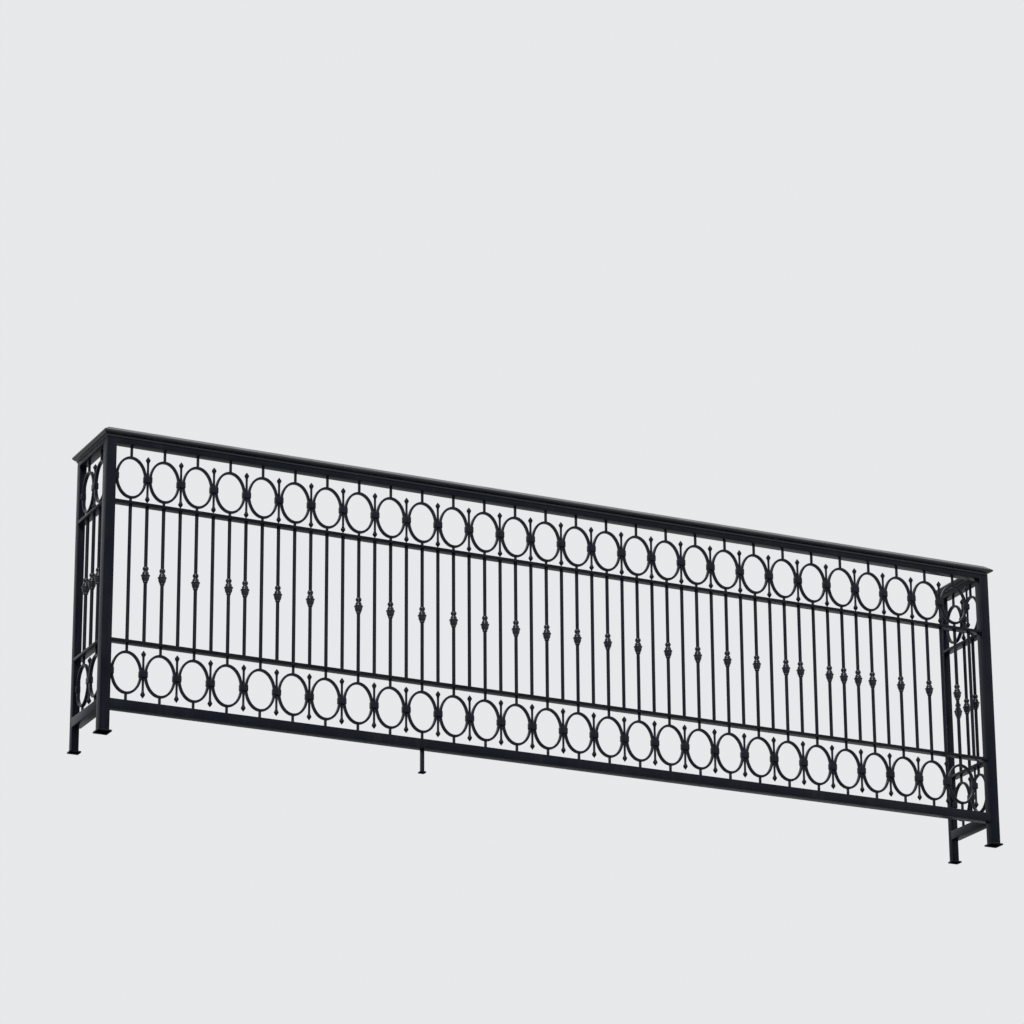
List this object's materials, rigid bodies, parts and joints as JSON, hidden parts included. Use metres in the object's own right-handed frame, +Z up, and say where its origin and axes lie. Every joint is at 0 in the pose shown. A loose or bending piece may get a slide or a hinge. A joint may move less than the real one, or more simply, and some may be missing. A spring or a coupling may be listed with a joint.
{
  "type": "balcony railing",
  "caption": "U-shaped iron balcony railing with a moulded handrail, two friezes of oval rings with darts, and slim balusters with turned knuckles between them.",
  "frame": {"origin": "bottom centre of the railing, on the plane of the base plates' undersides", "axes": "+X runs along the front run to its right end seen from the street, +Y points from the street to the wall, +Z is up"},
  "size_m": [3.438, 0.31, 1.05],
  "materials": {
    "handrail_paint": "satin black paint, dulled and dusty on its upper faces",
    "frame_paint": "satin blue-black paint",
    "bar_paint": "satin black paint with brown undercoat showing on edges",
    "casting_paint": "satin black paint, glossier on the rounded castings"
  },
  "bodies": {
    "root": {"balusters_front": "bar_paint", "balusters_left": "bar_paint", "balusters_right": "bar_paint", "base_plate_corner_left": "frame_paint", "base_plate_corner_right": "frame_paint", "base_plate_wall_left": "frame_paint", "base_plate_wall_right": "frame_paint", "bottom_rail_front": "frame_paint", "bottom_rail_left": "frame_paint", "bottom_rail_right": "frame_paint", "collars_front": "casting_paint", "collars_left": "casting_paint", "collars_right": "casting_paint", "corner_post_left": "frame_paint", "corner_post_right": "frame_paint", "darts_front": "casting_paint", "darts_left": "casting_paint", "darts_right": "casting_paint", "handrail_front": "handrail_paint", "handrail_left": "handrail_paint", "handrail_right": "handrail_paint", "knuckles_front": "casting_paint", "knuckles_left": "casting_paint", "knuckles_right": "casting_paint", "lower_band_rail_front": "frame_paint", "lower_band_rail_left": "frame_paint", "lower_band_rail_right": "frame_paint", "lower_rings_front": "bar_paint", "lower_rings_left": "bar_paint", "lower_rings_right": "bar_paint", "ring_stubs_front": "bar_paint", "ring_stubs_left": "bar_paint", "ring_stubs_right": "bar_paint", "support_leg": "frame_paint", "top_rail_front": "frame_paint", "top_rail_left": "frame_paint", "top_rail_right": "frame_paint", "upper_band_rail_front": "frame_paint", "upper_band_rail_left": "frame_paint", "upper_band_rail_right": "frame_paint", "upper_rings_front": "bar_paint", "upper_rings_left": "bar_paint", "upper_rings_right": "bar_paint", "wall_post_left": "frame_paint", "wall_post_right": "frame_paint"}
  },
  "joints": []
}
